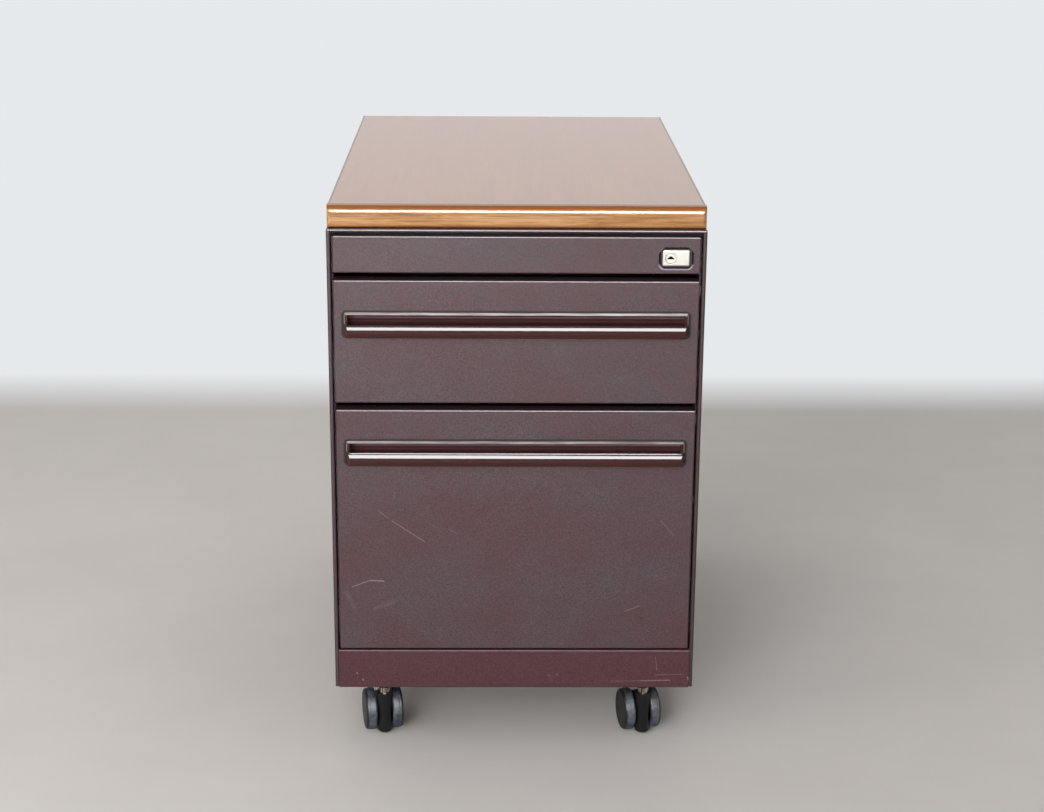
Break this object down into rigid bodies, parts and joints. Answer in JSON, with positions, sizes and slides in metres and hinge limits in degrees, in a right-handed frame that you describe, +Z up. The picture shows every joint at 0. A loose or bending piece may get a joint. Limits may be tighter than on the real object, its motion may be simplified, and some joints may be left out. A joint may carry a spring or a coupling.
{
  "type": "drawer cabinet",
  "caption": "Mobile steel office pedestal with a wooden top, a lockable pencil drawer, a box drawer and a filing drawer on telescopic slides, and twin-wheel castors.",
  "frame": {"origin": "on the floor, at the middle of the overall width and depth, handles included", "axes": "+X to the right of someone who faces the drawers, +Y from the drawers to the back, +Z up"},
  "size_m": [0.42, 0.664, 0.645],
  "materials": {
    "cabinet_paint": "aubergine-brown powder coat, fine grain",
    "plinth_paint": "maroon-brown powder coat, chipped",
    "slide_steel": "zinc-plated steel",
    "drawer_steel": "aubergine-brown powder coat, matt",
    "iron": "black-lacquered iron",
    "veneer": "satin-lacquered beech veneer",
    "edging": "satin-lacquered solid beech",
    "handle_plastic": "burgundy-brown moulded plastic",
    "tray_plastic": "grey moulded polystyrene",
    "nickel": "nickel-plated die-casting",
    "castor_plastic": "black moulded nylon",
    "wheel_plastic": "black nylon wheel with grey tread",
    "axle_steel": "bright steel"
  },
  "bodies": {
    "cabinet": {"side_panel_left": "cabinet_paint", "side_panel_right": "cabinet_paint", "back_panel": "cabinet_paint", "top_cap": "cabinet_paint", "front_rail": "cabinet_paint", "base_pan": "cabinet_paint", "plinth_rail": "plinth_paint", "slide_posts": "slide_steel", "outer_slides": "slide_steel", "ballast": "iron", "pencil_runners": "slide_steel", "castor_sockets": "slide_steel", "lock_guides": "slide_steel", "top_board": "veneer", "front_edging": "edging", "back_edging": "edging", "side_edgings": "edging", "top_screws": "slide_steel"},
    "lock_bar": {"lock_bar": "slide_steel", "lock_tabs": "slide_steel"},
    "pencil_drawer": {"pencil_front": "cabinet_paint", "pencil_tray": "tray_plastic", "tray_rims": "tray_plastic", "lock_case": "nickel"},
    "lock_cylinder": {"lock_plug": "nickel", "lock_cam": "slide_steel"},
    "lock_slider": {"lock_slider": "slide_steel"},
    "box_drawer": {"box_front": "cabinet_paint", "box_shell": "drawer_steel", "box_catch": "slide_steel", "box_handle": "handle_plastic", "box_inner_slides": "slide_steel"},
    "box_slide_middles": {"box_middle_slides": "slide_steel"},
    "file_drawer": {"file_front": "cabinet_paint", "file_shell": "drawer_steel", "file_catch": "slide_steel", "file_handle": "handle_plastic", "file_inner_slides": "slide_steel", "hanging_rails": "drawer_steel"},
    "file_slide_middles": {"file_middle_slides": "slide_steel"},
    "castor_front_left": {"yoke_front_left": "castor_plastic", "stem_front_left": "nickel", "axle_front_left": "axle_steel"},
    "wheel_front_left_outer": {"wheel_front_left_outer": "wheel_plastic"},
    "wheel_front_left_inner": {"wheel_front_left_inner": "wheel_plastic"},
    "castor_front_right": {"yoke_front_right": "castor_plastic", "stem_front_right": "nickel", "axle_front_right": "axle_steel"},
    "wheel_front_right_outer": {"wheel_front_right_outer": "wheel_plastic"},
    "wheel_front_right_inner": {"wheel_front_right_inner": "wheel_plastic"},
    "castor_rear_left": {"yoke_rear_left": "castor_plastic", "stem_rear_left": "nickel", "axle_rear_left": "axle_steel"},
    "wheel_rear_left_outer": {"wheel_rear_left_outer": "wheel_plastic"},
    "wheel_rear_left_inner": {"wheel_rear_left_inner": "wheel_plastic"},
    "castor_rear_right": {"yoke_rear_right": "castor_plastic", "stem_rear_right": "nickel", "axle_rear_right": "axle_steel"},
    "wheel_rear_right_outer": {"wheel_rear_right_outer": "wheel_plastic"},
    "wheel_rear_right_inner": {"wheel_rear_right_inner": "wheel_plastic"}
  },
  "joints": [
    {"name": "pencil_drawer_slide", "type": "slide", "parent": "cabinet", "child": "pencil_drawer", "axis": [0, -1, 0], "range_m": [0, 0.29]},
    {"name": "box_drawer_slide", "type": "slide", "parent": "cabinet", "child": "box_drawer", "axis": [0, -1, 0], "range_m": [0, 0.53]},
    {"name": "box_middle_slide", "type": "slide", "parent": "cabinet", "child": "box_slide_middles", "axis": [0, -1, 0], "range_m": [0, 0.265]},
    {"name": "file_drawer_slide", "type": "slide", "parent": "cabinet", "child": "file_drawer", "axis": [0, -1, 0], "range_m": [0, 0.53]},
    {"name": "file_middle_slide", "type": "slide", "parent": "cabinet", "child": "file_slide_middles", "axis": [0, -1, 0], "range_m": [0, 0.265]},
    {"name": "lock_turn", "type": "hinge", "parent": "pencil_drawer", "child": "lock_cylinder", "pos_m": [0.17, -0.318, 0.588], "axis": [0, -1, 0], "range_deg": [0, 90]},
    {"name": "lock_slider_lift", "type": "slide", "parent": "pencil_drawer", "child": "lock_slider", "axis": [0, 0, 1], "range_m": [0, 0.01131]},
    {"name": "lock_bar_lift", "type": "slide", "parent": "cabinet", "child": "lock_bar", "axis": [0, 0, 1], "range_m": [0, 0.01131]},
    {"name": "swivel_front_left", "type": "hinge", "parent": "cabinet", "child": "castor_front_left", "pos_m": [-0.154, -0.294, 0.054], "axis": [0, 0, 1], "continuous": true},
    {"name": "roll_front_left_outer", "type": "hinge", "parent": "castor_front_left", "child": "wheel_front_left_outer", "pos_m": [-0.17285, -0.27933, 0.025], "axis": [0.9816, 0.1908, 0], "continuous": true},
    {"name": "roll_front_left_inner", "type": "hinge", "parent": "castor_front_left", "child": "wheel_front_left_inner", "pos_m": [-0.14202, -0.27333, 0.025], "axis": [0.9816, 0.1908, 0], "continuous": true},
    {"name": "swivel_front_right", "type": "hinge", "parent": "cabinet", "child": "castor_front_right", "pos_m": [0.154, -0.294, 0.054], "axis": [0, 0, 1], "continuous": true},
    {"name": "roll_front_right_outer", "type": "hinge", "parent": "castor_front_right", "child": "wheel_front_right_outer", "pos_m": [0.16562, -0.27313, 0.025], "axis": [0.9781, 0.2079, 0], "continuous": true},
    {"name": "roll_front_right_inner", "type": "hinge", "parent": "castor_front_right", "child": "wheel_front_right_inner", "pos_m": [0.1349, -0.27966, 0.025], "axis": [0.9781, 0.2079, 0], "continuous": true},
    {"name": "swivel_rear_left", "type": "hinge", "parent": "cabinet", "child": "castor_rear_left", "pos_m": [-0.154, 0.282, 0.054], "axis": [0, 0, 1], "continuous": true},
    {"name": "roll_rear_left_outer", "type": "hinge", "parent": "castor_rear_left", "child": "wheel_rear_left_outer", "pos_m": [-0.16669, 0.30223, 0.025], "axis": [0.9877, -0.1564, 0], "continuous": true},
    {"name": "roll_rear_left_inner", "type": "hinge", "parent": "castor_rear_left", "child": "wheel_rear_left_inner", "pos_m": [-0.13568, 0.29732, 0.025], "axis": [0.9877, -0.1564, 0], "continuous": true},
    {"name": "swivel_rear_right", "type": "hinge", "parent": "cabinet", "child": "castor_rear_right", "pos_m": [0.154, 0.282, 0.054], "axis": [0, 0, 1], "continuous": true},
    {"name": "roll_rear_right_outer", "type": "hinge", "parent": "castor_rear_right", "child": "wheel_rear_right_outer", "pos_m": [0.16488, 0.30326, 0.025], "axis": [0.9703, 0.2419, 0], "continuous": true},
    {"name": "roll_rear_right_inner", "type": "hinge", "parent": "castor_rear_right", "child": "wheel_rear_right_inner", "pos_m": [0.13441, 0.29567, 0.025], "axis": [0.9703, 0.2419, 0], "continuous": true}
  ],
  "couplings": [
    {"joint": "box_middle_slide", "follows": "box_drawer_slide", "ratio": 0.5},
    {"joint": "file_middle_slide", "follows": "file_drawer_slide", "ratio": 0.5},
    {"joint": "lock_turn", "follows": "lock_bar_lift", "rad_per_m": 138.84},
    {"joint": "lock_slider_lift", "follows": "lock_bar_lift", "ratio": 1}
  ]
}
